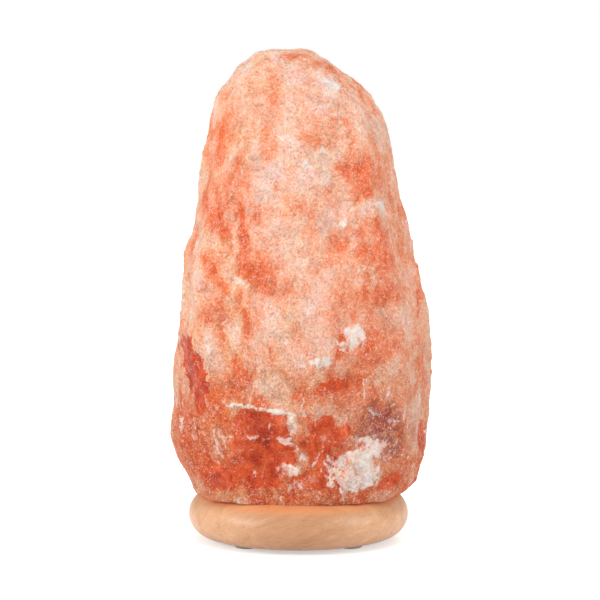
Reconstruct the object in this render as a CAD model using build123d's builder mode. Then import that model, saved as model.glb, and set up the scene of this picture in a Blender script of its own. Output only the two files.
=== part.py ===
"""Salt crystal lamp: a hewn block of rock salt on a turned wooden base.

The crystal is bored from below and screwed to the base. A lamp holder on a round steel plate closes
the bore. Three sprung leaves on the plate grip the bore of the base, so the plate, holder and bulb
draw out downwards together when the bulb is changed, and the bulb then unscrews from the holder.

Frame: +Z up, millimetres. The origin is on the surface that the lamp stands on, under the middle of
the base. -Y is the front, and the cord channel leaves the base at the back, on +Y.
"""

import os
from math import cos, hypot, radians, sin, sqrt

from build123d import *

# ---- Base -------------------------------------------------------------------------------------------
base_diameter = 132.0
base_thickness = 27.0
base_bore_diameter = 48.0
recess_diameter = 60.0
recess_depth = 14.0
channel_width = 8.0
channel_depth = 9.0
bore_edge_break = 0.8

foot_count = 4
foot_diameter = 14.0
foot_height = 2.0
foot_inset = 1.5
foot_edge_bevel = 0.5

# ---- Crystal ----------------------------------------------------------------------------------------
crystal_height = 266.0
crystal_width = 160.0
crystal_depth = 136.0
crystal_bore_clearance = 1.0
crystal_bore_depth = 100.0
crystal_bore_roof_round = 6.0

# Height as a share of the crystal's, then the reach from the bore's axis to the left and right as
# shares of half its width, and to the front and back as shares of half its depth.
crystal_stations = [
    (0.000, 0.752, 0.800, 0.780, 0.765),
    (0.025, 0.818, 0.885, 0.868, 0.842),
    (0.068, 0.893, 0.930, 0.946, 0.916),
    (0.130, 0.959, 0.962, 0.986, 0.964),
    (0.203, 0.940, 0.978, 0.996, 0.982),
    (0.280, 0.936, 0.998, 1.000, 0.973),
    (0.340, 0.908, 0.998, 0.985, 0.958),
    (0.431, 0.874, 0.962, 0.949, 0.926),
    (0.526, 0.864, 0.882, 0.904, 0.872),
    (0.614, 0.772, 0.812, 0.848, 0.802),
    (0.705, 0.756, 0.740, 0.780, 0.728),
    (0.796, 0.692, 0.685, 0.700, 0.640),
    (0.864, 0.645, 0.610, 0.600, 0.558),
    (0.910, 0.590, 0.500, 0.500, 0.470),
    (0.955, 0.480, 0.318, 0.385, 0.350),
    (0.978, 0.418, 0.205, 0.305, 0.275),
    (1.000, 0.345, 0.115, 0.206, 0.176),
]

# Corners that run up the crystal: the angle from +X, and how far each stands out from an oval.
crystal_corners = [
    (0, 1.00),
    (37, 1.06),
    (66, 1.02),
    (104, 1.03),
    (141, 1.09),
    (180, 1.00),
    (214, 1.07),
    (243, 1.03),
    (276, 1.00),
    (318, 1.09),
]

# Flats hewn off the block: the way each faces, how far it leans back (up is positive), and a point
# that it passes through, as a share of the crystal's height and of its half width and half depth.
hewn_flats = [
    (262, -17, 0.128, 0.894),  # low front, under the ledge
    (298, -14, 0.113, 0.899),  # low right, with the white scar
    (228, -10, 0.083, 0.900),  # low left corner
    (243, 7, 0.414, 0.894),  # long left front
    (272, 9, 0.564, 0.838),  # long front
    (303, 5, 0.451, 0.957),  # long right front
    (220, 16, 0.771, 0.713),  # high left
    (262, 27, 0.846, 0.601),  # high front
    (312, 38, 0.887, 0.606),  # right shoulder
    (345, 30, 0.917, 0.480),  # right shoulder, towards the side
    (190, 34, 0.932, 0.527),  # left shoulder
    (88, 8, 0.451, 0.875),  # long back
    (52, -8, 0.150, 0.965),  # low back right
    (122, -12, 0.135, 0.925),  # low back left
    (138, 11, 0.564, 0.817),  # long back left
    (38, 14, 0.620, 0.762),  # long back right
    (95, 30, 0.835, 0.565),  # high back
    (140, 36, 0.887, 0.533),  # high back left
]

# Shallow round hollows where chips were struck off: the way each faces, its height as a share of the
# crystal's, and its depth as a share of the deepest.
chip_radius = 60.0
chip_depth = 2.6
struck_chips = [
    (247, 0.100, 1.00),  # the clear window, low on the front
    (288, 0.095, 0.80),  # the window's right half
    (322, 0.140, 0.70),  # beside the white scar
    (207, 0.260, 0.80),  # the red streak at the left
    (262, 0.255, 0.60),
    (299, 0.280, 0.75),
    (333, 0.330, 0.80),
    (231, 0.385, 0.75),
    (281, 0.400, 0.70),
    (198, 0.450, 0.80),
    (311, 0.470, 0.80),
    (255, 0.520, 0.80),
    (346, 0.540, 0.90),
    (221, 0.600, 0.80),
    (290, 0.600, 0.80),
    (254, 0.700, 0.70),
    (323, 0.700, 0.90),
    (196, 0.730, 0.90),
    (287, 0.790, 0.80),
    (232, 0.830, 0.80),
    (20, 0.130, 0.90),
    (72, 0.110, 0.90),
    (108, 0.240, 0.80),
    (160, 0.150, 0.90),
    (45, 0.300, 0.80),
    (12, 0.400, 0.90),
    (85, 0.380, 0.80),
    (132, 0.400, 0.90),
    (168, 0.330, 0.80),
    (58, 0.500, 0.90),
    (105, 0.560, 0.80),
    (153, 0.560, 0.90),
    (28, 0.660, 0.90),
    (80, 0.700, 0.80),
    (125, 0.740, 0.80),
    (170, 0.820, 0.80),
    (55, 0.830, 0.80),
]

# ---- Screws that hold the crystal to the base, and their plugs --------------------------------------
screw_count = 2
screw_circle_diameter = 84.0
screw_length = 52.0
screw_shank_diameter = 4.5
screw_point_length = 8.0
screw_point_diameter = 1.2
screw_head_diameter = 9.0
screw_head_height = 3.2
screw_head_round = 1.0
screw_counterbore_diameter = 11.0
screw_counterbore_depth = 7.0
screw_clearance = 0.25
driver_slot_width = 1.2
driver_slot_depth = 1.4

plug_diameter = 8.0
plug_length = 32.0
plug_collar_diameter = 10.0
plug_collar_height = 1.5
plug_nose_bevel = 1.0
plug_slit_width = 1.0
plug_slit_length = 20.0
plug_clearance = 0.1
plug_hole_spare = 2.0

# ---- Clip plate -------------------------------------------------------------------------------------
plate_edge_gap = 1.5
plate_thickness = 1.0
plate_rim_height = 3.0
plate_rim_round = 0.8

clip_count = 3
clip_first_angle = 30.0
clip_strip_thickness = 0.5
clip_strip_width = 9.0
clip_foot_gap = 2.1
clip_root_inset = 4.0
clip_root_rise = 2.0
clip_root_gap = 0.3
clip_bend_radius = 1.4
clip_crest_height = 9.0
clip_wall_clearance = 0.3
clip_tip_height = 25.0
clip_tip_inset = 5.0
clip_tip_round = 2.5
rivet_diameter = 3.0
rivet_head_diameter = 5.0
rivet_head_height = 0.8
rivet_head_bevel = 0.4
rivet_clearance = 0.05

# ---- Cord entry -------------------------------------------------------------------------------------
entry_diameter = 10.0
entry_bore_diameter = 7.5
entry_clearance = 0.1
entry_tail = 1.5
entry_rise = 3.0
entry_edge_break = 0.5
nut_across_flats = 14.0
nut_thickness = 3.0

# ---- Lamp holder ------------------------------------------------------------------------------------
holder_diameter = 28.0
holder_wall = 1.6
holder_clearance = 0.2
cap_length = 20.0
cap_foot_diameter = 21.0
cap_floor = 3.0
cap_shoulder_height = 8.0
cap_shoulder_round = 6.0
cap_spigot_wall = 1.2
cap_spigot_length = 4.0
sleeve_length = 34.0
sleeve_mouth_diameter = 17.0
sleeve_lip_round = 1.2
sleeve_collar_height = 2.0
rib_count = 18
rib_diameter = 1.2
rib_margin = 6.0

block_diameter = 20.8
block_flange_height = 4.0
block_height = 14.0
block_socket_depth = 4.0
block_socket_clearance = 0.1

strip_thickness = 0.5
strip_width = 5.0
strip_drop = 8.0
strip_clearance = 0.15
centre_strip_offset = 2.6
side_strip_offset = 5.6
side_strip_reach = 7.4
tongue_rise = 3.15
tongue_reach = 2.0
tongue_slope = 1.4
tongue_bend_radius = 0.9

shell_bore_diameter = 14.3
shell_wall = 0.35
shell_length = 15.0
shell_floor_hole_diameter = 8.4

terminal_screw_diameter = 2.5
terminal_screw_length = 4.0
terminal_screw_clearance = 0.05
terminal_head_diameter = 4.6
terminal_head_height = 1.5
terminal_slot_width = 0.7
terminal_slot_depth = 0.7
terminal_drop = 3.6

# ---- Bulb -------------------------------------------------------------------------------------------
bulb_contact_gap = 0.3
bulb_length = 57.0
bulb_diameter = 26.0
bulb_glass_wall = 0.6
bulb_neck_diameter = 12.4
bulb_neck_depth = 8.0
bulb_shoulder_height = 18.0
bulb_cap_diameter = 13.4
bulb_cap_wall = 0.3
bulb_cap_height = 14.5
bulb_cap_flange = 1.6
bulb_cap_bevel = 0.7
bulb_contact_diameter = 4.4
bulb_contact_height = 1.0
bulb_contact_round = 0.4
insulator_height = 2.4
insulator_foot_diameter = 6.4
stem_clearance = 0.05
stem_flare_thickness = 0.8
stem_flare_height = 5.0
stem_diameter = 4.0
stem_height = 21.0
press_thickness = 1.8
press_width = 6.0
press_height = 6.0
lead_diameter = 0.5
lead_root_spacing = 4.0
lead_spread = 7.0
lead_height = 9.0
lead_bend_radius = 2.0
filament_diameter = 0.5

# How near an edge or a corner lies to the size that it is looked up by.
match_tolerance = 0.01

# ---- Levels and places that follow from the sizes above ---------------------------------------------
base_bottom = foot_height
base_top = base_bottom + base_thickness
base_radius = base_diameter / 2
base_flat_radius = base_radius - base_thickness / 2
foot_radius = base_flat_radius - foot_inset - foot_diameter / 2
channel_top = base_bottom + channel_depth
channel_spring = channel_top - channel_width / 2

crystal_bore_diameter = base_bore_diameter + 2 * crystal_bore_clearance

screw_radius = screw_circle_diameter / 2
screw_seat = base_bottom + screw_counterbore_depth
screw_top = screw_seat + screw_length
plug_hole_depth = max(plug_length, screw_top - base_top) + plug_hole_spare

plate_top = base_bottom + recess_depth
plate_bottom = plate_top - plate_thickness
plate_radius = recess_diameter / 2 - plate_edge_gap
clip_angles = [clip_first_angle + 360 / clip_count * number for number in range(clip_count)]
clip_foot_level = plate_top + clip_strip_thickness / 2
clip_foot_start = cap_foot_diameter / 2 + clip_foot_gap
clip_root_radius = base_bore_diameter / 2 - clip_root_inset
clip_root_top = plate_top + clip_root_rise
clip_corner_radius = base_bore_diameter / 2 - clip_wall_clearance
clip_crest_radius = sqrt(clip_corner_radius**2 - (clip_strip_width / 2) ** 2) - clip_strip_thickness / 2
clip_tip_radius = base_bore_diameter / 2 - clip_tip_inset
rivet_circle_radius = (clip_foot_start + clip_root_radius - clip_bend_radius) / 2
rivet_hole_radius = rivet_diameter / 2 + rivet_clearance

nut_bottom = plate_bottom - nut_thickness
entry_bottom = nut_bottom - entry_tail
entry_top = plate_top + cap_floor + entry_rise
entry_hole_radius = entry_diameter / 2 + entry_clearance

holder_radius = holder_diameter / 2
holder_bore_radius = holder_radius - holder_wall
spigot_radius = holder_bore_radius - holder_clearance
spigot_bore_radius = spigot_radius - cap_spigot_wall
sleeve_bottom = plate_top + cap_length
sleeve_top = sleeve_bottom + sleeve_length
block_bottom = sleeve_bottom + cap_spigot_length
block_shoulder = block_bottom + block_flange_height
block_radius = block_diameter / 2
block_top = block_bottom + block_height
socket_floor = block_top - block_socket_depth
shell_bottom = socket_floor + strip_thickness
shell_radius = shell_bore_diameter / 2 + shell_wall
strip_bottom = block_bottom - strip_drop
terminal_level = block_bottom - terminal_drop
tongue_top = socket_floor + tongue_rise + strip_thickness / 2

bulb_bottom = tongue_top + bulb_contact_gap
bulb_top = bulb_bottom + bulb_length
insulator_bottom = bulb_bottom + bulb_contact_height
bulb_cap_bottom = insulator_bottom + insulator_height
bulb_cap_top = bulb_cap_bottom + bulb_cap_height
bulb_dome_level = bulb_top - bulb_diameter / 2
glass_bottom = bulb_cap_top - bulb_neck_depth
stem_top = glass_bottom + stem_height
lead_top = stem_top + lead_height

underside = Plane((0, 0, base_bottom), x_dir=(1, 0, 0), z_dir=(0, 0, -1))
crystal_underside = Plane((0, 0, base_top), x_dir=(1, 0, 0), z_dir=(0, 0, -1))
standing = (Align.CENTER, Align.CENTER, Align.MIN)
hanging = (Align.CENTER, Align.CENTER, Align.MAX)


def turn_outline(*points, mode=Mode.ADD):
    """Turn a closed outline of (radius, height) points about the lamp's axis."""
    with BuildSketch(Plane.XZ) as section:
        with BuildLine():
            Polyline(*points, close=True)
        make_face()
    revolve(section.sketch, axis=Axis.Z, mode=mode)


def radial_plane(angle):
    """The upright plane through the lamp's axis at an angle from +X, for (radius, height) sketches."""
    across, deep = cos(radians(angle)), sin(radians(angle))
    return Plane((0, 0, 0), x_dir=(across, deep, 0), z_dir=(deep, -across, 0))


def round_edges_at(part, radius, level):
    """The circular edges of a part that have this radius and lie at this level."""
    circles = part.edges().filter_by(GeomType.CIRCLE)
    return [
        edge
        for edge in circles
        if abs(edge.radius - radius) < match_tolerance and abs(edge.center().Z - level) < match_tolerance
    ]


# ---- Wooden base ------------------------------------------------------------------------------------
with BuildPart() as wooden_base:
    with BuildSketch(Plane.XZ):
        with BuildLine():
            Line((base_flat_radius, base_top), (0, base_top))
            Line((0, base_top), (0, base_bottom))
            Line((0, base_bottom), (base_flat_radius, base_bottom))
            ThreePointArc(
                (base_flat_radius, base_bottom),
                (base_radius, (base_bottom + base_top) / 2),
                (base_flat_radius, base_top),
            )
        make_face()
    revolve(axis=Axis.Z)
    with Locations(underside):
        CounterBoreHole(base_bore_diameter / 2, recess_diameter / 2, recess_depth)
        with PolarLocations(screw_radius, screw_count):
            CounterBoreHole(
                screw_shank_diameter / 2 + screw_clearance,
                screw_counterbore_diameter / 2,
                screw_counterbore_depth,
            )
    # Channel for the cord: round at the top, open underneath, from the recess out through the back.
    with BuildSketch(Plane.XZ):
        with Locations((0, (base_bottom + channel_spring) / 2)):
            Rectangle(channel_width, channel_spring - base_bottom)
        with Locations((0, channel_spring)):
            Circle(channel_width / 2)
    extrude(amount=-base_radius, mode=Mode.SUBTRACT)
    chamfer(round_edges_at(wooden_base, base_bore_diameter / 2, base_top), bore_edge_break)
wooden_base.part.label = "wooden_base"

# ---- Feet -------------------------------------------------------------------------------------------
with BuildPart() as foot_pads:
    with PolarLocations(foot_radius, foot_count, start_angle=180 / foot_count):
        Cylinder(foot_diameter / 2, foot_height, align=standing)
    chamfer(foot_pads.edges().group_by(Axis.Z)[0], foot_edge_bevel)
foot_pads.part.label = "foot_pads"

# ---- Salt crystal -----------------------------------------------------------------------------------


def crystal_outline(left, right, front, back):
    """The corners of one level section, on an oval with a reach of its own each way."""
    corners = []
    for angle, stand_out in crystal_corners:
        across, deep = cos(radians(angle)), sin(radians(angle))
        reach_x = crystal_width / 2 * (right if across > 0 else left)
        reach_y = crystal_depth / 2 * (back if deep > 0 else front)
        reach = stand_out / hypot(across / reach_x, deep / reach_y)
        corners.append((reach * across, reach * deep))
    return corners


def flat_plane(facing, lean, height, reach):
    """The plane of a hewn flat, with its normal out of the crystal."""
    across, deep = cos(radians(facing)), sin(radians(facing))
    normal = (across * cos(radians(lean)), deep * cos(radians(lean)), sin(radians(lean)))
    passes = (
        reach * across * crystal_width / 2,
        reach * deep * crystal_depth / 2,
        base_top + height * crystal_height,
    )
    return Plane(passes, z_dir=normal)


def struck_surface(part, facing, height):
    """Where the crystal's side lies, out from the bore's axis, and the way that it faces there."""
    outwards = Axis(
        (0, 0, base_top + height * crystal_height),
        (cos(radians(facing)), sin(radians(facing)), 0),
    )
    return part.find_intersection_points(outwards)[-1]


def struck_surface(part, facing, height):
    """Where the crystal's side lies, out from the bore's axis, and the way that it faces there."""
    outwards = Axis(
        (0, 0, base_top + height * crystal_height),
        (cos(radians(facing)), sin(radians(facing)), 0),
    )
    return part.find_intersection_points(outwards)[-1]


with BuildPart() as salt_crystal:
    for height, *reaches in crystal_stations:
        with BuildSketch(Plane.XY.offset(base_top + height * crystal_height)):
            Polygon(*crystal_outline(*reaches), align=None)
    loft()
    for flat in hewn_flats:
        split(bisect_by=flat_plane(*flat), keep=Keep.BOTTOM)
    hewn_block = salt_crystal.part
    chip_centres = []
    for facing, height, depth in struck_chips:
        surface, outwards = struck_surface(hewn_block, facing, height)
        chip_centres.append(surface + outwards * (chip_radius - depth * chip_depth))
    with Locations(*chip_centres):
        Sphere(chip_radius, mode=Mode.SUBTRACT)
    with BuildSketch(Plane.XZ) as bore_section:
        with Locations((0, base_top)):
            Rectangle(crystal_bore_diameter / 2, crystal_bore_depth, align=(Align.MIN, Align.MIN))
        roof_corner = bore_section.vertices().group_by(Axis.Y)[-1].sort_by(Axis.X)[-1]
        fillet(roof_corner, crystal_bore_roof_round)
    revolve(axis=Axis.Z, mode=Mode.SUBTRACT)
    with Locations(crystal_underside):
        with PolarLocations(screw_radius, screw_count):
            CounterBoreHole(
                plug_diameter / 2 + plug_clearance,
                plug_collar_diameter / 2 + plug_clearance,
                plug_collar_height,
                plug_hole_depth,
            )
salt_crystal.part.label = "salt_crystal"

# ---- Screws and plugs: each made once at the origin, then set on the screw circle -------------------
with BuildPart() as one_screw:
    Cylinder(screw_shank_diameter / 2, screw_length - screw_point_length, align=standing)
    with Locations((0, 0, screw_length - screw_point_length)):
        Cone(screw_shank_diameter / 2, screw_point_diameter / 2, screw_point_length, align=standing)
    Cylinder(screw_head_diameter / 2, screw_head_height, align=hanging)
    fillet(one_screw.edges().group_by(Axis.Z)[0], screw_head_round)
    with Locations((0, 0, -screw_head_height)):
        with PolarLocations(0, 2, angular_range=180):
            Box(
                screw_head_diameter,
                driver_slot_width,
                driver_slot_depth,
                align=standing,
                mode=Mode.SUBTRACT,
            )

with BuildPart() as fixing_screws:
    with Locations((0, 0, screw_seat)):
        with PolarLocations(screw_radius, screw_count):
            add(one_screw.part)
fixing_screws.part.label = "fixing_screws"

with BuildPart() as one_plug:
    Cylinder(plug_diameter / 2, plug_length, align=standing)
    chamfer(one_plug.edges().group_by(Axis.Z)[-1], plug_nose_bevel)
    Cylinder(plug_collar_diameter / 2, plug_collar_height, align=standing)
    Cylinder(screw_shank_diameter / 2 + plug_clearance, plug_length, align=standing, mode=Mode.SUBTRACT)
    with Locations((0, 0, plug_length)):
        Box(plug_diameter, plug_slit_width, plug_slit_length, align=hanging, mode=Mode.SUBTRACT)

with BuildPart() as screw_plugs:
    with Locations((0, 0, base_top)):
        with PolarLocations(screw_radius, screw_count):
            add(one_plug.part)
screw_plugs.part.label = "screw_plugs"

# ---- Clip plate: a pressed disc with a turned-down rim, against the roof of the recess --------------
with BuildPart() as clip_plate:
    turn_outline(
        (entry_hole_radius, plate_top),
        (plate_radius, plate_top),
        (plate_radius, plate_top - plate_rim_height),
        (plate_radius - plate_thickness, plate_top - plate_rim_height),
        (plate_radius - plate_thickness, plate_bottom),
        (entry_hole_radius, plate_bottom),
    )
    fillet(round_edges_at(clip_plate, plate_radius, plate_top), plate_rim_round)
    with Locations((0, 0, plate_top)):
        with PolarLocations(rivet_circle_radius, clip_count, start_angle=clip_first_angle):
            Hole(rivet_hole_radius)
clip_plate.part.label = "clip_plate"

# ---- Clips: a flat foot that is riveted to the plate and turns up, and a sprung leaf over it --------
with BuildPart() as clip_feet:
    for angle in clip_angles:
        with BuildSketch(radial_plane(angle)):
            with BuildLine():
                FilletPolyline(
                    (clip_foot_start, clip_foot_level),
                    (clip_root_radius, clip_foot_level),
                    (clip_root_radius, clip_root_top),
                    radius=clip_bend_radius,
                )
            trace(line_width=clip_strip_thickness)
        extrude(amount=clip_strip_width / 2, both=True)
    with Locations((0, 0, clip_foot_level)):
        with PolarLocations(rivet_circle_radius, clip_count, start_angle=clip_first_angle):
            Cylinder(rivet_hole_radius, 2 * clip_strip_thickness, mode=Mode.SUBTRACT)
clip_feet.part.label = "clip_feet"

spring_clips = []
for number, angle in enumerate(clip_angles, start=1):
    with BuildPart() as spring_clip:
        with BuildSketch(radial_plane(angle)):
            with BuildLine():
                Spline(
                    (clip_root_radius, clip_root_top + clip_root_gap),
                    (clip_crest_radius, plate_top + clip_crest_height),
                    (clip_tip_radius, plate_top + clip_tip_height),
                    tangents=((0, 1), (0, 1), (-1, 2)),
                )
            trace(line_width=clip_strip_thickness)
        extrude(amount=clip_strip_width / 2, both=True)
        tip_corners = spring_clip.faces().sort_by(Axis.Z)[-1].edges().sort_by(SortBy.LENGTH)[:2]
        fillet(tip_corners, clip_tip_round)
    spring_clip.part.label = f"spring_clip_{number}"
    spring_clips.append(spring_clip)

with BuildPart() as one_rivet:
    Cylinder(rivet_diameter / 2, plate_thickness + clip_strip_thickness, align=hanging)
    Cylinder(rivet_head_diameter / 2, rivet_head_height, align=standing)
    with Locations((0, 0, -plate_thickness - clip_strip_thickness)):
        Cylinder(rivet_head_diameter / 2, rivet_head_height, align=hanging)
    chamfer(one_rivet.edges().group_by(Axis.Z)[0], rivet_head_bevel)
    chamfer(one_rivet.edges().group_by(Axis.Z)[-1], rivet_head_bevel)

with BuildPart() as clip_rivets:
    with Locations((0, 0, plate_top + clip_strip_thickness)):
        with PolarLocations(rivet_circle_radius, clip_count, start_angle=clip_first_angle):
            add(one_rivet.part)
clip_rivets.part.label = "clip_rivets"

# ---- Cord entry: a threaded tube through the plate and the holder's cap, and its nut ----------------
with BuildPart() as entry_nipple:
    with Locations((0, 0, entry_bottom)):
        Cylinder(entry_diameter / 2, entry_top - entry_bottom, align=standing)
    chamfer(entry_nipple.edges().filter_by(GeomType.CIRCLE), entry_edge_break)
    with Locations((0, 0, entry_bottom)):
        Cylinder(entry_bore_diameter / 2, entry_top - entry_bottom, align=standing, mode=Mode.SUBTRACT)
entry_nipple.part.label = "entry_nipple"

with BuildPart() as nipple_nut:
    with BuildSketch(Plane.XY.offset(nut_bottom)):
        RegularPolygon(nut_across_flats / 2, 6, major_radius=False)
        Circle(entry_hole_radius, mode=Mode.SUBTRACT)
    extrude(amount=nut_thickness)
nipple_nut.part.label = "nipple_nut"

# ---- Holder: a domed cap below, and a ribbed sleeve that pushes over its spigot ---------------------
with BuildPart() as holder_cap:
    with BuildSketch(Plane.XZ) as cap_section:
        with BuildLine():
            Polyline(
                (entry_hole_radius, plate_top),
                (cap_foot_diameter / 2, plate_top),
                (holder_radius, plate_top + cap_shoulder_height),
                (holder_radius, sleeve_bottom),
                (spigot_radius, sleeve_bottom),
                (spigot_radius, block_bottom),
                (spigot_bore_radius, block_bottom),
                (spigot_bore_radius, sleeve_bottom - cap_spigot_wall),
                (holder_bore_radius, sleeve_bottom - 2 * cap_spigot_wall),
                (holder_bore_radius, plate_top + cap_shoulder_height),
                (cap_foot_diameter / 2 - holder_wall, plate_top + cap_floor),
                (entry_hole_radius, plate_top + cap_floor),
                close=True,
            )
        make_face()
        cap_shoulder_level = plate_top + cap_shoulder_height
        shoulder_corners = [
            corner
            for corner in cap_section.vertices()
            if corner.X > spigot_radius and abs(corner.Y - cap_shoulder_level) < match_tolerance
        ]
        fillet(shoulder_corners, cap_shoulder_round)
    revolve(axis=Axis.Z)
holder_cap.part.label = "holder_cap"

with BuildPart() as holder_sleeve:
    turn_outline(
        (holder_bore_radius, sleeve_bottom),
        (holder_radius, sleeve_bottom),
        (holder_radius, sleeve_top),
        (sleeve_mouth_diameter / 2, sleeve_top),
        (sleeve_mouth_diameter / 2, sleeve_top - holder_wall),
        (holder_bore_radius, sleeve_top - holder_wall),
        (holder_bore_radius, block_shoulder + sleeve_collar_height),
        (block_radius + holder_clearance, block_shoulder + sleeve_collar_height),
        (block_radius + holder_clearance, block_shoulder),
        (holder_bore_radius, block_shoulder),
    )
    fillet(round_edges_at(holder_sleeve, holder_radius, sleeve_top), sleeve_lip_round)
    with Locations((0, 0, sleeve_bottom + rib_margin)):
        with PolarLocations(holder_radius, rib_count):
            Cylinder(rib_diameter / 2, sleeve_length - 2 * rib_margin, align=standing)
holder_sleeve.part.label = "holder_sleeve"

# ---- Contact block: carries the screw shell and the two contact strips ------------------------------
with BuildPart() as contact_block:
    turn_outline(
        (0, block_bottom),
        (spigot_radius, block_bottom),
        (spigot_radius, block_shoulder),
        (block_radius, block_shoulder),
        (block_radius, block_top),
        (shell_radius + block_socket_clearance, block_top),
        (shell_radius + block_socket_clearance, socket_floor),
        (0, socket_floor),
    )
    with Locations((centre_strip_offset, 0, block_bottom), (-side_strip_offset, 0, block_bottom)):
        Box(
            strip_thickness + 2 * strip_clearance,
            strip_width + 2 * strip_clearance,
            block_height,
            align=standing,
            mode=Mode.SUBTRACT,
        )
contact_block.part.label = "contact_block"

with BuildPart() as centre_contact:
    with BuildSketch(Plane.XZ):
        with BuildLine():
            FilletPolyline(
                (centre_strip_offset, strip_bottom),
                (centre_strip_offset, socket_floor + strip_thickness),
                (centre_strip_offset - tongue_slope, socket_floor + tongue_rise),
                (-tongue_reach, socket_floor + tongue_rise),
                radius=tongue_bend_radius,
            )
        trace(line_width=strip_thickness)
    extrude(amount=strip_width / 2, both=True)
    with Locations((centre_strip_offset, 0, terminal_level)):
        Cylinder(
            terminal_screw_diameter / 2 + terminal_screw_clearance,
            2 * strip_thickness,
            rotation=(0, 90, 0),
            mode=Mode.SUBTRACT,
        )
centre_contact.part.label = "centre_contact"

with BuildPart() as side_contact:
    with BuildSketch(Plane.XZ):
        with Locations((-side_strip_offset, strip_bottom)):
            Rectangle(strip_thickness, shell_bottom - strip_bottom, align=(Align.CENTER, Align.MIN))
        with Locations((-side_strip_reach, socket_floor)):
            Rectangle(
                side_strip_reach - side_strip_offset + strip_thickness / 2,
                strip_thickness,
                align=(Align.MIN, Align.MIN),
            )
    extrude(amount=strip_width / 2, both=True)
    # The foot's end is round, to lie inside the socket.
    with Locations((0, 0, strip_bottom)):
        Cylinder(side_strip_reach, shell_bottom - strip_bottom, align=standing, mode=Mode.INTERSECT)
    with Locations((-side_strip_offset, 0, terminal_level)):
        Cylinder(
            terminal_screw_diameter / 2 + terminal_screw_clearance,
            2 * strip_thickness,
            rotation=(0, 90, 0),
            mode=Mode.SUBTRACT,
        )
side_contact.part.label = "side_contact"

with BuildPart() as one_terminal_screw:
    Cylinder(terminal_screw_diameter / 2, terminal_screw_length, align=hanging)
    Cylinder(terminal_head_diameter / 2, terminal_head_height, align=standing)
    with Locations((0, 0, terminal_head_height)):
        Box(
            terminal_head_diameter,
            terminal_slot_width,
            terminal_slot_depth,
            align=hanging,
            mode=Mode.SUBTRACT,
        )

with BuildPart() as terminal_screws:
    with Locations(
        Plane((centre_strip_offset + strip_thickness / 2, 0, terminal_level), z_dir=(1, 0, 0)),
        Plane((-side_strip_offset - strip_thickness / 2, 0, terminal_level), z_dir=(-1, 0, 0)),
    ):
        add(one_terminal_screw.part)
terminal_screws.part.label = "terminal_screws"

with BuildPart() as screw_shell:
    turn_outline(
        (shell_floor_hole_diameter / 2, shell_bottom),
        (shell_radius, shell_bottom),
        (shell_radius, shell_bottom + shell_length),
        (shell_bore_diameter / 2, shell_bottom + shell_length),
        (shell_bore_diameter / 2, shell_bottom + shell_wall),
        (shell_floor_hole_diameter / 2, shell_bottom + shell_wall),
    )
screw_shell.part.label = "screw_shell"

# ---- Bulb: a small screw-cap lamp -------------------------------------------------------------------


def turn_bulb_outline(inset, mode):
    """Turn the outline of the envelope, drawn in by a wall, about the lamp's axis."""
    neck = bulb_neck_diameter / 2 - inset
    body = bulb_diameter / 2 - inset
    shoulder_top = bulb_cap_top + bulb_shoulder_height
    shoulder_middle = ((neck + body) / 2, bulb_cap_top + bulb_shoulder_height / 2)
    with BuildSketch(Plane.XZ) as section:
        with BuildLine():
            Line((0, glass_bottom), (neck, glass_bottom))
            Line((neck, glass_bottom), (neck, bulb_cap_top))
            hollow = TangentArc((neck, bulb_cap_top), shoulder_middle, tangent=(0, 1))
            TangentArc(shoulder_middle, (body, shoulder_top), tangent=hollow % 1)
            Line((body, shoulder_top), (body, bulb_dome_level))
            CenterArc((0, bulb_dome_level), body, 0, 90)
            Line((0, bulb_dome_level + body), (0, glass_bottom))
        make_face()
    revolve(section.sketch, axis=Axis.Z, mode=mode)


with BuildPart() as bulb_glass:
    turn_bulb_outline(0, Mode.ADD)
    turn_bulb_outline(bulb_glass_wall, Mode.SUBTRACT)
bulb_glass.part.label = "bulb_glass"

with BuildPart() as bulb_cap:
    turn_outline(
        (bulb_cap_diameter / 2 - bulb_cap_flange, bulb_cap_bottom),
        (bulb_cap_diameter / 2 - bulb_cap_bevel, bulb_cap_bottom),
        (bulb_cap_diameter / 2, bulb_cap_bottom + bulb_cap_bevel),
        (bulb_cap_diameter / 2, bulb_cap_top),
        (bulb_cap_diameter / 2 - bulb_cap_wall, bulb_cap_top),
        (bulb_cap_diameter / 2 - bulb_cap_wall, bulb_cap_bottom + bulb_cap_bevel),
        (bulb_cap_diameter / 2 - bulb_cap_bevel, bulb_cap_bottom + bulb_cap_wall),
        (bulb_cap_diameter / 2 - bulb_cap_flange, bulb_cap_bottom + bulb_cap_wall),
    )
bulb_cap.part.label = "bulb_cap"

with BuildPart() as bulb_insulator:
    turn_outline(
        (0, insulator_bottom),
        (insulator_foot_diameter / 2, insulator_bottom),
        (bulb_cap_diameter / 2 - bulb_cap_bevel, bulb_cap_bottom),
        (0, bulb_cap_bottom),
    )
bulb_insulator.part.label = "bulb_insulator"

with BuildPart() as bulb_contact:
    with Locations((0, 0, bulb_bottom)):
        Cylinder(bulb_contact_diameter / 2, bulb_contact_height, align=standing)
    fillet(bulb_contact.edges().group_by(Axis.Z)[0], bulb_contact_round)
bulb_contact.part.label = "bulb_contact"

with BuildPart() as bulb_stem:
    turn_outline(
        (0, glass_bottom),
        (bulb_neck_diameter / 2 - bulb_glass_wall - stem_clearance, glass_bottom),
        (bulb_neck_diameter / 2 - bulb_glass_wall - stem_clearance, glass_bottom + stem_flare_thickness),
        (stem_diameter / 2, glass_bottom + stem_flare_height),
        (stem_diameter / 2, stem_top - press_height),
        (0, stem_top - press_height),
    )
    with Locations((0, 0, stem_top)):
        Box(press_width, press_thickness, press_height, align=hanging)
bulb_stem.part.label = "bulb_stem"

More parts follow.
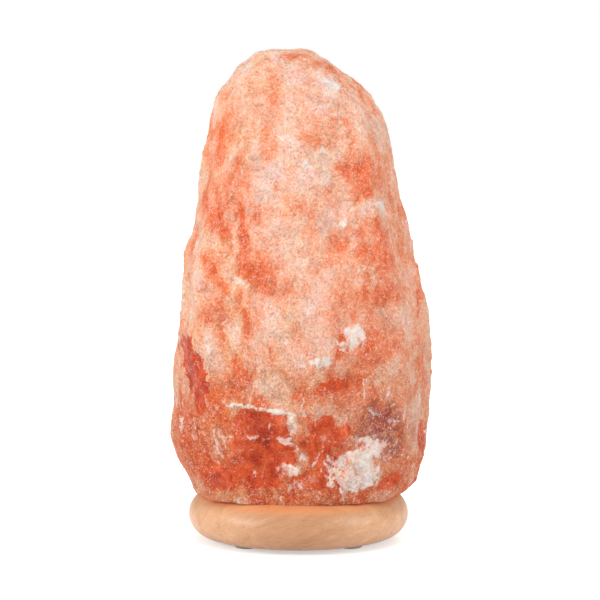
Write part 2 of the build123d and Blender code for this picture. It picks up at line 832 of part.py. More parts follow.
with BuildPart() as filament_leads:
    with BuildLine(Plane.XZ):
        FilletPolyline(
            (lead_root_spacing / 2, stem_top),
            (lead_root_spacing / 2, stem_top + lead_height / 4),
            (lead_spread / 2, stem_top + 3 * lead_height / 4),
            (lead_spread / 2, lead_top),
            radius=lead_bend_radius,
        )
    with BuildSketch(Plane((lead_root_spacing / 2, 0, stem_top))):
        Circle(lead_diameter / 2)
    sweep()
    mirror(about=Plane.YZ)
filament_leads.part.label = "filament_leads"

with BuildPart() as filament:
    with BuildLine(Plane.XZ):
        CenterArc((0, lead_top), lead_spread / 2, 0, 180)
    with BuildSketch(Plane((lead_spread / 2, 0, lead_top))):
        Circle(filament_diameter / 2)
    sweep()
filament.part.label = "filament"

# ---- One file for each piece ------------------------------------------------------------------------
pieces = [
    salt_crystal,
    wooden_base,
    foot_pads,
    fixing_screws,
    screw_plugs,
    clip_plate,
    clip_feet,
    clip_rivets,
    *spring_clips,
    entry_nipple,
    nipple_nut,
    holder_cap,
    holder_sleeve,
    contact_block,
    screw_shell,
    centre_contact,
    side_contact,
    terminal_screws,
    bulb_glass,
    bulb_cap,
    bulb_insulator,
    bulb_contact,
    bulb_stem,
    filament_leads,
    filament,
]

os.makedirs("parts", exist_ok=True)
for piece in pieces:
    export_step(piece.part, f"parts/{piece.part.label}.step")
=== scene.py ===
"""Salt crystal lamp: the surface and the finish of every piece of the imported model.

The crystal is the CAD solid's own shape, made fine enough to carry its hewn relief, and bored again.
The rest of the lamp keeps its solids and gets its wood, metal, glass, felt and plastic here.
Lengths are in metres, unless they are written times MM.
"""

import math

import bmesh
import bpy
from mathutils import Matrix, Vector


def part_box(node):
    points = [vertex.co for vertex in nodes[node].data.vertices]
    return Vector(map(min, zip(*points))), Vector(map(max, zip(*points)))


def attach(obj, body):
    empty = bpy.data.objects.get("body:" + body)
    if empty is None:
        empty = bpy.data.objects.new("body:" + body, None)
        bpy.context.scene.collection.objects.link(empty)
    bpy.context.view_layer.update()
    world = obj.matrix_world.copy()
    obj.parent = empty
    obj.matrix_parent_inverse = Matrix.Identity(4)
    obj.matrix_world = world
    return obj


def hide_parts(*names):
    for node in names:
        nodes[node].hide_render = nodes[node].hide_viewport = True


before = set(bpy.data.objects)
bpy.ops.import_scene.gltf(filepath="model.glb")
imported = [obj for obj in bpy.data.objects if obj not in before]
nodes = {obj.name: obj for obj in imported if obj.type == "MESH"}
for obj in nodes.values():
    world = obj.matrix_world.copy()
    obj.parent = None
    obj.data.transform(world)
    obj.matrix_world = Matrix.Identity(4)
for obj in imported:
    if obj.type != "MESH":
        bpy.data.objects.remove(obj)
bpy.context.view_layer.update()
MM = 0.001


# ---- Small helpers: nodes, sums and colours -----------------------------------------------------------
def colour(red, green, blue):
    """A colour written as seen on a screen, 0 to 255, as the light it stands for."""

    def light(value):
        value /= 255
        return value / 12.92 if value <= 0.04045 else ((value + 0.055) / 1.055) ** 2.4

    return (light(red), light(green), light(blue), 1.0)


def feed(tree, socket, value):
    """Join a socket to another one, or give it a plain value."""
    if isinstance(value, bpy.types.NodeSocket):
        tree.links.new(value, socket)
    elif value is not None:
        socket.default_value = value


def add(tree, kind, inputs=None, **settings):
    """Add one node, with its settings and its inputs by name."""
    node = tree.nodes.new(kind)
    for name, value in settings.items():
        setattr(node, name, value)
    for name, value in (inputs or {}).items():
        feed(tree, node.inputs[name], value)
    return node


def calc(tree, operation, *values):
    """A sum on numbers."""
    node = add(tree, "ShaderNodeMath", operation=operation)
    for socket, value in zip(node.inputs, values):
        feed(tree, socket, value)
    return node.outputs[0]


def times(tree, one, other):
    return calc(tree, "MULTIPLY", one, other)


def plus(tree, one, other):
    return calc(tree, "ADD", one, other)


def minus(tree, one, other):
    return calc(tree, "SUBTRACT", one, other)


def calc_vector(tree, operation, *values, scale=None):
    """A sum on vectors, which gives a number for their dot product."""
    node = add(tree, "ShaderNodeVectorMath", operation=operation)
    for socket, value in zip(node.inputs, values):
        feed(tree, socket, value)
    if scale is not None:
        feed(tree, node.inputs["Scale"], scale)
    return node.outputs["Value" if operation == "DOT_PRODUCT" else "Vector"]


def step_between(tree, value, low, high, start=0.0, end=1.0):
    """A smooth step from start to end as the value goes from low to high."""
    names = ("Value", "From Min", "From Max", "To Min", "To Max")
    inputs = dict(zip(names, (value, low, high, start, end)))
    return add(tree, "ShaderNodeMapRange", inputs, interpolation_type="SMOOTHSTEP").outputs[0]


def cloud(tree, where, size, detail=2.0, roughness=0.5, distortion=0.0, seed=0.0, colour_out=False):
    """Cloudy noise with features of a size in metres."""
    scale = calc(tree, "DIVIDE", 1.0, size) if isinstance(size, bpy.types.NodeSocket) else 1.0 / size
    names = ("Vector", "W", "Scale", "Detail", "Roughness", "Distortion")
    inputs = dict(zip(names, (where, seed, scale, detail, roughness, distortion)))
    node = add(tree, "ShaderNodeTexNoise", inputs, noise_dimensions="4D")
    return node.outputs[1] if colour_out else node.outputs[0]


def pushed(tree, place, noise, reach):
    """A place pushed about by the colour of a noise, by up to half the reach along each axis."""
    push = calc_vector(tree, "SUBTRACT", noise, (0.5, 0.5, 0.5))
    return calc_vector(tree, "ADD", place, calc_vector(tree, "SCALE", push, scale=reach))


def blend(tree, share, under, over, mode="MIX"):
    """Lay one colour over another by a share from 0 to 1."""
    node = add(tree, "ShaderNodeMix", data_type="RGBA", blend_type=mode, clamp_factor=True)
    # Its sockets for colours come after those for numbers and for vectors.
    for number, value in ((0, share), (6, under), (7, over)):
        feed(tree, node.inputs[number], value)
    return node.outputs[2]


def shades(tree, value, *stops):
    """A row of colours along a value."""
    ramp = add(tree, "ShaderNodeValToRGB", {"Fac": value})
    elements = ramp.color_ramp.elements
    while len(elements) < len(stops):
        elements.new(0.5)
    for element, (place, shade) in zip(elements, stops):
        element.position = place
        element.color = shade
    return ramp.outputs[0]


def new_group(name, kind, inputs, outputs):
    """A node group with named inputs and outputs: a word is a socket's type, and a number its default."""
    tree = bpy.data.node_groups.new(name, kind)
    for label, given in inputs.items():
        socket = given if isinstance(given, str) else {int: "Int", float: "Float"}[type(given)]
        item = tree.interface.new_socket(label, in_out="INPUT", socket_type="NodeSocket" + socket)
        if socket != given:
            item.default_value = given
    for label, socket in outputs.items():
        tree.interface.new_socket(label, in_out="OUTPUT", socket_type="NodeSocket" + socket)
    return tree, tree.nodes.new("NodeGroupInput").outputs, tree.nodes.new("NodeGroupOutput").inputs


def new_material(name, **plain):
    """A material with its shader, whose plain values are set by socket name."""
    material = bpy.data.materials.new(name)
    material.use_nodes = True
    tree = material.node_tree
    shader = tree.nodes["Principled BSDF"]
    for label, value in plain.items():
        shader.inputs[label.replace("_", " ")].default_value = value
    return material, tree, shader


def object_place(tree):
    return add(tree, "ShaderNodeTexCoord").outputs["Object"]


def axes(tree, where):
    """The X, Y and Z of a place, each as a number."""
    return list(add(tree, "ShaderNodeSeparateXYZ", {"Vector": where}).outputs)


def bump(tree, shader, height, distance, strength=1.0):
    """Stand a height on the surface as a bump, with its depth in metres."""
    node = add(tree, "ShaderNodeBump", {"Height": height, "Distance": distance, "Strength": strength})
    feed(tree, shader.inputs["Normal"], node.outputs[0])


def new_object(name, data):
    thing = bpy.data.objects.new(name, data)
    bpy.context.scene.collection.objects.link(thing)
    return thing


def applied(thing, name):
    """The object's mesh with its modifiers applied, as a new plain object in its place."""
    depsgraph = bpy.context.evaluated_depsgraph_get()
    mesh = bpy.data.meshes.new_from_object(thing.evaluated_get(depsgraph))
    bpy.data.objects.remove(thing)
    mesh.name = name
    return new_object(name, mesh)


# ---- Camera, floor and light --------------------------------------------------------------------------
VIEW_CENTRE = Vector((0.0009, 0.0, 0.1448))
VIEW_RISE = math.radians(8.5)
VIEW_DISTANCE = 4.0
VIEW_WIDTH = 0.360
SENSOR_WIDTH = 36.0  # in millimetres, as the lens is
OVERHEAD_LIGHT = (0.30, 0.66)  # the studio's own light, from under the horizon to overhead
MIRRORED_LIGHT = (0.45, 1.3)  # what gloss mirrors of the studio, from ahead to the two sides
MIRRORED_BELOW = 0.4  # the share of it that comes from under the horizon
FLOOR_SHADE = (0.84, 0.84, 0.84, 1)
FLOOR_GLOW = 0.50  # added where the floor is seen, to make it as white as the backdrop
FLOOR_REACH = 4.0
FLOOR_DROP = 0.3 * MM  # keeps it clear of the faces of the foot pads

scene = bpy.context.scene
scene.view_settings.view_transform = "Standard"

camera = new_object("camera", bpy.data.cameras.new("camera"))
camera.data.sensor_width = SENSOR_WIDTH
camera.data.lens = SENSOR_WIDTH * VIEW_DISTANCE / VIEW_WIDTH
camera.data.clip_end = 20.0
camera.location = VIEW_CENTRE + VIEW_DISTANCE * Vector((0, -math.cos(VIEW_RISE), math.sin(VIEW_RISE)))
camera.rotation_euler = (math.pi / 2 - VIEW_RISE, 0, 0)
scene.camera = camera


def seen_directly(tree):
    """1 for a ray that comes from the camera, a mirror or a glass, and 0 for the light on the lamp."""
    path = add(tree, "ShaderNodeLightPath")
    mirrored = calc(tree, "MAXIMUM", path.outputs["Is Glossy Ray"], path.outputs["Is Transmission Ray"])
    return calc(tree, "MAXIMUM", path.outputs["Is Camera Ray"], mirrored)


def build_studio():
    """A white backdrop to look at, and a soft light of its own that is strongest overhead."""
    world = bpy.data.worlds.new("studio")
    scene.world = world
    world.use_nodes = True
    tree = world.node_tree
    background = tree.nodes["Background"]
    background.inputs["Color"].default_value = (1, 1, 1, 1)
    x, _, z = axes(tree, add(tree, "ShaderNodeTexCoord").outputs["Generated"])
    overhead = step_between(tree, z, -0.1, 0.9, *OVERHEAD_LIGHT)
    backdrop = step_between(tree, seen_directly(tree), 0, 1, overhead, 1.0)
    sideways = step_between(tree, calc(tree, "ABSOLUTE", x), 0.70, 0.95, *MIRRORED_LIGHT)
    above_floor = step_between(tree, z, -0.1, 0.10, MIRRORED_BELOW, 1.0)
    mirrored = add(tree, "ShaderNodeLightPath").outputs["Is Glossy Ray"]
    strength = step_between(tree, mirrored, 0, 1, backdrop, times(tree, sideways, above_floor))
    feed(tree, background.inputs["Strength"], strength)


def hang_lamp(name, place, aim_height, width, power, mirrored):
    """A round lamp that faces a height on the middle line."""
    light = bpy.data.lights.new(name, "AREA")
    light.shape = "DISK"
    light.size = width
    light.energy = power
    lamp = new_object(name, light)
    lamp.location = place
    lamp.rotation_euler = (Vector((0, 0, aim_height)) - Vector(place)).to_track_quat("-Z", "Y").to_euler()
    lamp.visible_glossy = mirrored


def lay_floor():
    """A white floor that shows the lamp's shadow, and that is clear from below."""
    corners = [(x * FLOOR_REACH, y * FLOOR_REACH, 0) for x, y in ((-1, -1), (1, -1), (1, 1), (-1, 1))]
    mesh = bpy.data.meshes.new("floor")
    mesh.from_pydata(corners, [], [(0, 1, 2, 3)])
    floor = new_object("floor", mesh)
    floor.location.z = -FLOOR_DROP
    material = bpy.data.materials.new("studio floor")
    material.use_nodes = True
    tree = material.node_tree
    tree.nodes.remove(tree.nodes["Principled BSDF"])
    matt = add(tree, "ShaderNodeBsdfDiffuse", {"Color": FLOOR_SHADE})
    brighter = times(tree, seen_directly(tree), FLOOR_GLOW)
    glow = add(tree, "ShaderNodeEmission", {"Strength": brighter})
    lit = add(tree, "ShaderNodeAddShader", {0: matt.outputs[0], 1: glow.outputs[0]})
    see_through = add(tree, "ShaderNodeBsdfTransparent")
    from_below = add(tree, "ShaderNodeNewGeometry").outputs["Backfacing"]
    sided = add(tree, "ShaderNodeMixShader", {0: from_below, 1: lit.outputs[0], 2: see_through.outputs[0]})
    feed(tree, tree.nodes["Material Output"].inputs["Surface"], sided.outputs[0])
    floor.data.materials.append(material)


build_studio()
# Each lamp: its place, the height that it faces, its width, its power in watts, and whether gloss mirrors it.
# The top and the back lamp only light, because the photo has no highlight from above.
hang_lamp("left_lamp", (-1.08, -0.60, 0.50), 0.12, 0.50, 8.3, True)
hang_lamp("right_lamp", (1.08, -0.60, 0.42), 0.12, 0.45, 5.2, True)
hang_lamp("top_lamp", (-0.10, -0.55, 1.20), 0.20, 0.60, 5.7, False)
hang_lamp("back_lamp", (0.30, 1.25, 0.80), 0.15, 0.60, 7.5, False)
lay_floor()

# ---- The crystal's marks, as seen from the front ------------------------------------------------------
# Each mark: across from the middle and height above the table, half width and half height, all in
# millimetres, its turn in degrees (leaning left is positive), and how strong it is.
CLEAR_SALT = [  # deep, wet-looking salt
    (-23, 67, 18, 9, -3, 1.0),
    (-21, 56, 19, 12, 0, 1.0),
    (-25, 45, 14, 11, 8, 0.95),
    (-22, 35, 12, 6, 0, 0.8),
    (17, 62, 14, 9, 18, 0.95),
    (14, 49, 8, 11, 10, 0.95),
    (8, 34, 12, 6, 0, 0.9),
    (-46, 37, 11, 6, -25, 0.7),
    (-63, 104, 6.2, 17, 14, 2.6),
    (-11, 48, 9, 9, 0, 1.0),
    (-59, 84, 3, 9, 8, 0.7),
    (74, 62, 2.6, 10, 0, 1.0),
    (20, 92, 12, 4, 12, 0.6),
    (54, 34, 9, 4, 20, 0.6),
]
ORANGE_SALT = [  # warmer, redder salt
    (8, 241, 6.5, 6, 0, 1.25),
    (-17, 236, 4.4, 8, -10, 1.0),
    (29, 224, 11, 3.2, -8, 1.0),
    (27, 252, 3.4, 3.2, 0, 1.0),
    (48, 232, 3.6, 2.6, -20, 1.0),
    (-45, 245, 7, 13, 0, 0.8),
    (-53, 224, 5, 13, 0, 0.75),
    (-36, 226, 9, 14, 0, 0.6),
    (-46, 215, 9, 28, 0, 0.8),
    (-34, 189, 3.6, 24, 14, 1.0),
    (-52, 204, 4, 20, 0, 0.75),
    (-43, 187, 3.4, 9, 0, 0.8),
    (-4, 221, 5, 5, 0, 0.7),
    (-2, 203, 5, 8, 0, 0.7),
    (32, 188, 5, 2, -10, 0.9),
    (44, 220, 12, 24, 0, 0.7),
    (54, 208, 8, 12, 0, 0.6),
    (51, 187, 14, 9, 0, 0.75),
    (-22, 163, 10, 8, 0, 0.7),
    (-17, 151, 4.5, 5, 0, 1.0),
    (52, 178, 6, 9, 0, 0.9),
    (61, 170, 5, 9, 0, 0.8),
    (47, 163, 26, 22, 0, 0.8),
    (30, 150, 12, 14, 0, 0.45),
    (-31, 126, 4, 13, 4, 0.9),
    (-36, 92, 9, 13, 0, 0.6),
    (27, 118, 4.5, 10, -10, 0.95),
    (46, 116, 18, 11, 0, 0.5),
    (22, 90, 16, 9, 8, 0.95),
    (44, 88, 18, 8, 0, 0.35),
    (-50, 150, 5, 24, 6, 0.5),
    (-60, 80, 11, 14, 0, 0.6),
    (-64, 108, 6, 22, 10, 0.55),
    (-25, 86, 2.6, 10, 24, 0.9),
    (-4, 292, 8, 2, 0, 1.0),
    (-54, 60, 15, 24, 0, 1.7),
    (-54, 42, 9, 9, 0, 1.3),
    (-65, 66, 8, 20, 0, 1.4),
    (0, 46, 40, 20, 0, 0.5),
    (60, 40, 14, 10, 20, 0.6),
]
PALE_SALT = [  # paler salt
    (18, 277, 9, 3, -42, 1.0),
    (28, 265, 14, 4.6, -32, 0.9),
    (-15, 272, 5, 6, 0, 0.8),
    (-3, 238, 6.5, 7, 0, 1.0),
    (2, 227, 6, 2.4, -35, 1.0),
    (14, 218, 9, 4.5, -20, 0.9),
    (-20, 251, 6, 6, 0, 0.8),
    (-12, 222, 6, 12, 0, 0.8),
    (44, 239, 6, 20, 12, 0.35),
    (40, 199, 12, 6, 15, 1.0),
    (28, 190, 8, 4, 10, 0.9),
    (-48, 58, 6, 11, 0, 1.4),
    (-3, 66, 5, 9, 0, 1.0),
    (0, 50, 5, 11, 10, 0.8),
    (72, 62, 5, 24, 4, 0.9),
    (-58, 104, 3, 15, 8, 1.0),
    (-54, 177, 5, 4.5, 0, 0.7),
    (-34, 156, 8, 3.4, -40, 1.0),
    (-8, 118, 25, 32, 0, 0.6),
    (-2, 236, 22, 22, 0, 0.9),
    (-14, 270, 22, 18, 0, 0.7),
    (-4, 196, 18, 26, 0, 0.9),
    (10, 165, 24, 14, 0, 0.8),
    (-66, 132, 5, 22, 0, 0.6),
    (62, 104, 8, 20, 0, 0.5),
    (66, 140, 5, 20, 0, 0.4),
    (50, 56, 10, 10, 10, 0.9),
    (54, 84, 8, 6, 20, 0.5),
    (14, 56, 3, 10, 0, 0.6),
]
SUGARY_SALT = [  # white, sugary crust
    (31, 41, 14, 12, 25, 1.1),
    (43, 55, 8, 7, 20, 0.9),
    (34, 122, 8, 8, 0, 0.7),
    (15, 107, 8, 3, 4, 0.6),
    (-7, 41, 8, 3.6, -15, 0.75),
    (-24, 78.5, 23, 1.2, -10, 1.1),
    (-3, 31, 7, 4, 0, 0.5),
    (-4, 67, 3.4, 6, 0, 0.6),
    (0, 51, 3.4, 8, 12, 0.42),
    (42, 200, 9, 3.6, 15, 0.6),
    (26, 190, 6, 3, 10, 0.5),
    (20, 274, 6, 2.4, -40, 0.6),
    (-33, 156, 6, 2.6, -40, 0.6),
    (4, 226, 5, 1.8, -35, 0.7),
    (57, 70, 4, 3, 30, 0.7),
    (46, 76, 5, 2, -30, 0.6),
    (-48, 60, 3.6, 8, 0, 0.42),
]
PLUM_SALT = [  # purplish salt round the white scar
    (50, 66, 17, 19, 0, 1.0),
    (34, 64, 12, 9, 0, 0.5),
]
HOLLOWS = [  # where the surface stands back, as far as the last number in millimetres
    (-24, 55, 25, 19, -4, 2.2),
    (18, 55, 9, 18, 8, 1.7),
    (12, 33, 14, 8, 0, 1.4),
    (-66, 102, 3.6, 17, 17, 2.0),
    (-34, 189, 3.2, 24, 14, 1.6),
    (-17, 151, 4, 4, 0, 1.2),
    (75, 62, 3, 9, 0, 1.8),
    (48, 66, 14, 16, 0, 1.4),
    (29, 224, 12, 4.5, -8, 0.9),
    (8, 241, 6, 6, 0, 0.8),
    (24, 100, 12, 8, 10, 0.9),
    (60, 185, 6, 26, 0, 0.8),
]
RISES = [  # where it stands out, likewise
    (-25, 80, 23, 3.4, -8, 1.3),
    (33, 42, 15, 13, 0, 1.5),
    (5, 66, 5, 9, 0, 1.2),
    (-34, 156, 7, 3.4, -40, 1.5),
    (-7, 41, 8, 4, -15, 1.2),
    (-29, 238, 3.5, 46, 3, 1.0),
    (34, 260, 16, 3.4, -34, 1.0),
    (40, 199, 11, 5, 15, 0.8),
]
MARK_CORNER = 2.3  # 2 would make each mark an ellipse, and more makes it squarer
SMALL_MARK = 5  # a mark with a half width or height under this keeps its shape better
RAGGED = 0.024  # how far noise shifts the edges of the large marks
NEAT = 0.010  # and of the small ones

RELIEF_SIZES = {
    "Lump size": 0.034,
    "Lump depth": 0.0036,
    "Chip size": 0.012,
    "Chip depth": 0.0027,
    "Grain size": 0.0042,
    "Grain depth": 0.0011,
}
RELIEF_SEED = 3.0
SWELL = 0.0005  # stands the whole surface out, for what softening the block takes off it


def build_mark_group():
    """One soft-edged oval mark on the front of the crystal."""
    tree, given, out = new_group(
        "Front mark",
        "GeometryNodeTree",
        {
            "Place": "Vector",
            "Across": 0.0,
            "Height": 0.0,
            "Half width": 0.01,
            "Half height": 0.01,
            "Turn": 0.0,
            "Edge": 0.35,
        },
        {"Mark": "Float"},
    )
    centre = add(tree, "ShaderNodeCombineXYZ", {"X": given["Across"], "Z": given["Height"]}).outputs[0]
    away = calc_vector(tree, "SUBTRACT", given["Place"], centre)
    spin = {"Vector": away, "Angle": given["Turn"]}
    turned = add(tree, "ShaderNodeVectorRotate", spin, rotation_type="Y_AXIS").outputs[0]
    sizes = add(tree, "ShaderNodeCombineXYZ", {"X": given["Half width"], "Y": 1.0, "Z": given["Half height"]})
    share = calc_vector(tree, "DIVIDE", turned, sizes.outputs[0])
    across, _, up = axes(tree, calc_vector(tree, "ABSOLUTE", share))
    powers = [calc(tree, "POWER", side, MARK_CORNER) for side in (across, up)]
    reach = calc(tree, "POWER", plus(tree, *powers), 1 / MARK_CORNER)
    inner = minus(tree, 1.0, given["Edge"])
    outer = plus(tree, 1.0, given["Edge"])
    feed(tree, out["Mark"], step_between(tree, reach, inner, outer, 1.0, 0.0))
    return tree


mark_group = build_mark_group()


def lay_marks(tree, place, marks, edge):
    """The strongest of a list of marks at each point."""
    strongest = None
    for *lengths, turn, strength in marks:
        mark = add(tree, "GeometryNodeGroup", node_tree=mark_group)
        values = (place, *(length * MM for length in lengths), math.radians(turn), edge)
        for socket, value in zip(mark.inputs, values):
            feed(tree, socket, value)
        weighed = times(tree, mark.outputs[0], strength)
        strongest = weighed if strongest is None else calc(tree, "MAXIMUM", strongest, weighed)
    return strongest


def build_hewn_salt():
    """Relief of a hewn salt block: lumps, chips and grain, with the marks of its front."""
    tree, given, out = new_group(
        "Hewn salt",
        "GeometryNodeTree",
        {"Block": "Geometry", **RELIEF_SIZES, "Seed": RELIEF_SEED, "Finish": "Material"},
        {"Block": "Geometry"},
    )
    place = add(tree, "GeometryNodeInputPosition").outputs[0]
    x, y, z = axes(tree, place)
    seed = given["Seed"]

    # Noise that pushes places about, so that the marks have ragged edges.
    shift = cloud(tree, place, 0.013, 5.0, 0.68, seed=seed, colour_out=True)
    # A mark's place is the one that it has in the front view, which looks down a little.
    nearness = calc(tree, "DIVIDE", VIEW_DISTANCE, plus(tree, y, VIEW_DISTANCE))
    seen_across = times(tree, x, nearness)
    drop = times(tree, y, math.tan(VIEW_RISE))
    above_centre = minus(tree, plus(tree, z, drop), VIEW_CENTRE.z)
    seen_height = plus(tree, times(tree, above_centre, nearness), VIEW_CENTRE.z)
    seen = add(tree, "ShaderNodeCombineXYZ", {"X": seen_across, "Z": seen_height}).outputs[0]
    ragged = pushed(tree, seen, shift, RAGGED)
    neat = pushed(tree, seen, shift, NEAT)
    front = step_between(tree, y, 0.004, -0.012)

    def front_marks(marks, edge):
        """Small marks keep their shape, and large ones are more ragged."""
        small = [mark for mark in marks if min(mark[2], mark[3]) < SMALL_MARK]
        large = [mark for mark in marks if mark not in small]
        groups = ((neat, small), (ragged, large))
        laid = [lay_marks(tree, spot, group, edge) for spot, group in groups if group]
        strongest = laid[0] if len(laid) == 1 else calc(tree, "MAXIMUM", *laid)
        return times(tree, strongest, front)

    clear = front_marks(CLEAR_SALT, 0.22)
    orange = front_marks(ORANGE_SALT, 0.55)
    pale = front_marks(PALE_SALT, 0.6)
    sugary = front_marks(SUGARY_SALT, 0.35)
    plum = front_marks(PLUM_SALT, 0.6)
    hollow = front_marks([(*mark[:5], mark[5] * MM) for mark in HOLLOWS], 0.4)
    rise = front_marks([(*mark[:5], mark[5] * MM) for mark in RISES], 0.5)

    # The sides and the back have clear salt too, low down, from noise.
    behind = minus(tree, 1.0, front)
    low = step_between(tree, z, 0.100, 0.045)
    pools = step_between(tree, cloud(tree, place, 0.040, 3.0, 0.6, 0.6, seed=seed), 0.56, 0.62)
    clear = calc(tree, "MAXIMUM", clear, times(tree, times(tree, pools, low), behind))

    lump_noise = cloud(tree, place, given["Lump size"], 2.0, 0.5, seed=seed)
    lumps = times(tree, minus(tree, lump_noise, 0.5), given["Lump depth"])
    # Scallops left by the chisel, strong in some places and faint in others.
    stretched = calc_vector(tree, "MULTIPLY", pushed(tree, place, shift, 0.018), (1.0, 1.0, 0.62))
    closeness = calc(tree, "DIVIDE", 1.0, given["Chip size"])
    spread = {"Vector": stretched, "W": seed, "Scale": closeness}
    cells = add(tree, "ShaderNodeTexVoronoi", spread, voronoi_dimensions="4D", feature="F1")
    bowl = times(tree, cells.outputs["Distance"], cells.outputs["Distance"])
    where_chipped = step_between(tree, cloud(tree, place, 0.028, 2.0, seed=seed), 0.42, 0.58, 0.25, 1.0)
    chips = times(tree, minus(tree, bowl, 0.35), given["Chip depth"])
    chips = times(tree, chips, where_chipped)
    # Grain, coarser in the sugary crust and finer in the clear salt.
    upright = calc_vector(tree, "MULTIPLY", place, (1.0, 1.0, 0.7))
    grain_noise = cloud(tree, upright, given["Grain size"], 3.0, 0.6)
    grain = times(tree, minus(tree, grain_noise, 0.5), given["Grain depth"])
    coarse = plus(tree, 2.6, times(tree, sugary, 2.4))
    coarse = minus(tree, coarse, times(tree, clear, 1.6))
    grain = times(tree, grain, coarse)

    small = plus(tree, chips, grain)
    marks = minus(tree, rise, hollow)
    total = plus(tree, plus(tree, lumps, marks), plus(tree, small, SWELL))
    # The relief fades at the top, so that the block stays about as high as its solid.
    near_top = step_between(tree, z, 0.286, 0.294)
    total = times(tree, total, minus(tree, 1.0, times(tree, near_top, 0.6)))
    total = minus(tree, total, times(tree, near_top, 0.2 * MM))
    offset = calc_vector(tree, "SCALE", add(tree, "GeometryNodeInputNormal").outputs[0], scale=total)

    # The rock salt reads these for its colours. The relief is near 1 where chips and grain stand well out.
    flow = given["Block"]
    relief = calc(tree, "DIVIDE", plus(tree, small, times(tree, lumps, 0.3)), 1.2 * MM)
    for name, value in (
        ("clear_salt", clear),
        ("orange_salt", orange),
        ("pale_salt", pale),
        ("sugary_salt", sugary),
        ("plum_salt", plum),
        ("relief", relief),
    ):
        store = add(tree, "GeometryNodeStoreNamedAttribute", data_type="FLOAT", domain="POINT")
        feed(tree, store.inputs["Geometry"], flow)
        feed(tree, store.inputs["Name"], name)
        feed(tree, [socket for socket in store.inputs if socket.name == "Value" and socket.enabled][0], value)
        flow = store.outputs["Geometry"]
    moved = add(tree, "GeometryNodeSetPosition", {"Geometry": flow, "Offset": offset}).outputs[0]
    real = add(tree, "GeometryNodeRealizeInstances", {"Geometry": moved}).outputs[0]
    set_finish = add(tree, "GeometryNodeSetMaterial", {"Geometry": real, "Material": given["Finish"]})
    feed(tree, out["Block"], set_finish.outputs[0])
    return tree


# ---- Rock salt ----------------------------------------------------------------------------------------
SUGAR = colour(254, 226, 212)
FROST = colour(254, 211, 193)
PALE = colour(252, 198, 173)
PEACH = colour(251, 183, 152)
SALMON = colour(250, 165, 128)
CORAL = colour(245, 144, 103)
ORANGE = colour(239, 121, 76)
EMBER = colour(236, 104, 52)
DEEP = colour(222, 86, 38)
GARNET = colour(192, 58, 25)
PLUM = colour(194, 98, 84)
BRUISE = colour(162, 60, 52)
WHITE = colour(255, 239, 231)
AMBER = (1.0, 0.98, 0.85, 1)  # laid over by multiplying, as is the next
# Painted shade towards the foot, where less light falls from above
PAINTED_FOOT_SHADE = (0.80, 0.84, 0.79, 1)
# Each row of shades runs along a value, from its deepest place to its palest.
GRAIN_SHADES = (
    (0.04, EMBER),
    (0.19, ORANGE),
    (0.32, CORAL),
    (0.43, SALMON),
    (0.54, PEACH),
    (0.66, PALE),
    (0.80, FROST),
    (0.95, SUGAR),
)
CLEAR_SHADES = ((0.22, GARNET), (0.40, DEEP), (0.56, EMBER), (0.72, CORAL), (0.90, PEACH))
PLUM_SHADES = ((0.22, BRUISE), (0.45, PLUM), (0.66, CORAL), (0.92, FROST))
CRUST_SHADES = ((0.06, CORAL), (0.18, PEACH), (0.29, FROST), (0.41, SUGAR), (0.56, WHITE))
PIT_LOSS = (0.56, 0.95, 1.0)  # how much of the red, green and blue a full pit takes away
FLAKE_SIZE = 0.0018
LARGE_FACET = 0.0058
LARGE_FACET_HEIGHT = 560.0  # a facet's own height is tiny: these bring it to that of the other bumps
FINE_FACET = 0.0012
FINE_FACET_HEIGHT = 480.0
FINE_FACET_IN_CLEAR = 180.0
BUMP_DEPTH = 0.0032


